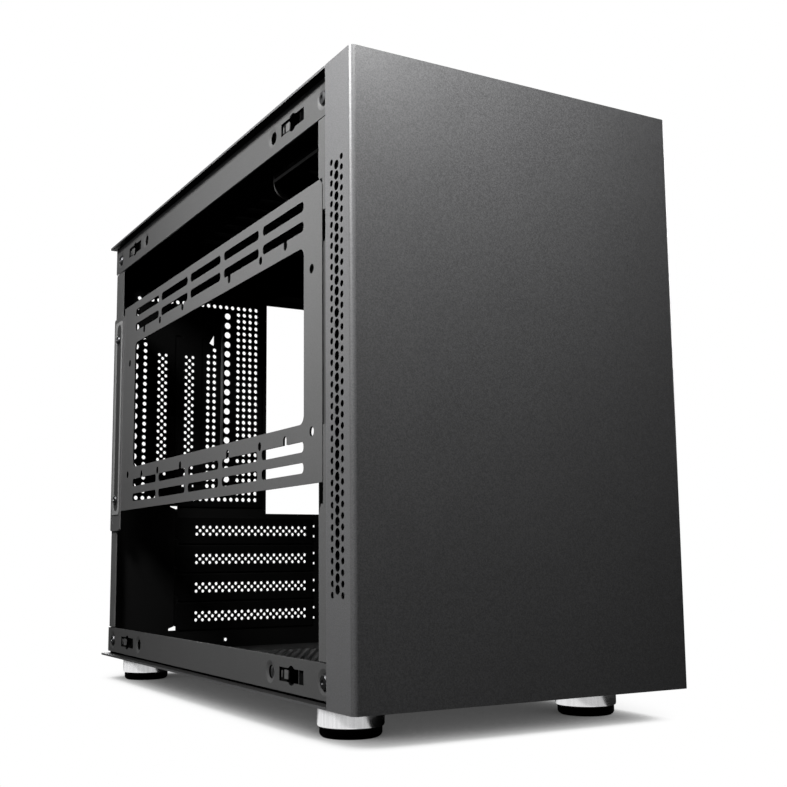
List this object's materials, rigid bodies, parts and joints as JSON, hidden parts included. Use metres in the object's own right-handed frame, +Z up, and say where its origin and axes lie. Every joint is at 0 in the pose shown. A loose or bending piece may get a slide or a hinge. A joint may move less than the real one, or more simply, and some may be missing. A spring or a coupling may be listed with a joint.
{
  "type": "computer case",
  "caption": "Compact tower case of folded sheet steel with vented front edges, open left side, slotted fan bracket, card slots, dust filters and round metal feet.",
  "frame": {"origin": "middle of the rectangle that the case stands on, at the soles of its feet", "axes": "+Z up, the front panel faces -Y, the open side faces -X"},
  "size_m": [0.183, 0.3786, 0.3027],
  "materials": {
    "outer_paint": "fine-textured satin powder coat",
    "frame_paint": "satin powder coat",
    "clip_plastic": "moulded",
    "button_plastic": "moulded",
    "filter_mesh": "fine mesh",
    "screw_steel": "black zinc",
    "port_metal": "nickel plated",
    "standoff_brass": "turned",
    "foot_metal": "turned and brushed",
    "foot_rubber": "matte"
  },
  "bodies": {
    "chassis": {"front_frame": "frame_paint", "front_clips": "clip_plastic", "top_panel": "outer_paint", "bottom_panel": "outer_paint", "left_bottom_rail": "frame_paint", "right_bottom_rail": "frame_paint", "left_top_rail": "frame_paint", "right_top_rail": "frame_paint", "left_clips": "clip_plastic", "right_clips": "clip_plastic", "rail_screws": "screw_steel", "rear_panel": "frame_paint", "rear_vent_plate": "frame_paint", "upright_slot_plate": "frame_paint", "slot_screws": "screw_steel", "fan_bracket": "frame_paint", "fan_bracket_screws": "screw_steel", "motherboard_tray": "frame_paint", "standoffs": "standoff_brass", "supply_bracket": "frame_paint", "filter_rails": "clip_plastic", "port_box": "clip_plastic", "usb_port_left": "port_metal", "usb_port_right": "port_metal", "usb_port_small": "port_metal", "audio_port": "clip_plastic", "power_inlet": "clip_plastic", "foot_screws": "screw_steel", "drive_bracket": "frame_paint", "slot_cover_1": "frame_paint", "slot_cover_2": "frame_paint", "slot_cover_3": "frame_paint", "slot_cover_4": "frame_paint", "vertical_slot_cover_1": "frame_paint", "vertical_slot_cover_2": "frame_paint", "feet": "foot_metal", "foot_pads": "foot_rubber"},
    "front": {"front_panel": "outer_paint", "front_panel_studs": "clip_plastic"},
    "right_side": {"right_side_panel": "outer_paint", "right_panel_studs": "clip_plastic"},
    "top_filter": {"top_filter": "filter_mesh"},
    "bottom_filter": {"bottom_filter": "filter_mesh"},
    "power_button": {"power_button": "button_plastic"},
    "reset_button": {"reset_button": "button_plastic"}
  },
  "joints": [
    {"name": "front_pull", "type": "slide", "parent": "chassis", "child": "front", "axis": [0, -1, 0], "range_m": [0, 0.06]},
    {"name": "side_pull", "type": "slide", "parent": "chassis", "child": "right_side", "axis": [1, 0, 0], "range_m": [0, 0.05]},
    {"name": "top_filter_lift", "type": "slide", "parent": "chassis", "child": "top_filter", "axis": [0, 0, 1], "range_m": [0, 0.04]},
    {"name": "bottom_filter_slide", "type": "slide", "parent": "chassis", "child": "bottom_filter", "axis": [0, 1, 0], "range_m": [0, 0.3]},
    {"name": "power_press", "type": "slide", "parent": "chassis", "child": "power_button", "axis": [0, 0, -1], "range_m": [0, 0.001], "stiffness_N_per_m": 1500, "springref_m": -0.0005},
    {"name": "reset_press", "type": "slide", "parent": "chassis", "child": "reset_button", "axis": [0, 0, -1], "range_m": [0, 0.0008], "stiffness_N_per_m": 1500, "springref_m": -0.0005}
  ]
}
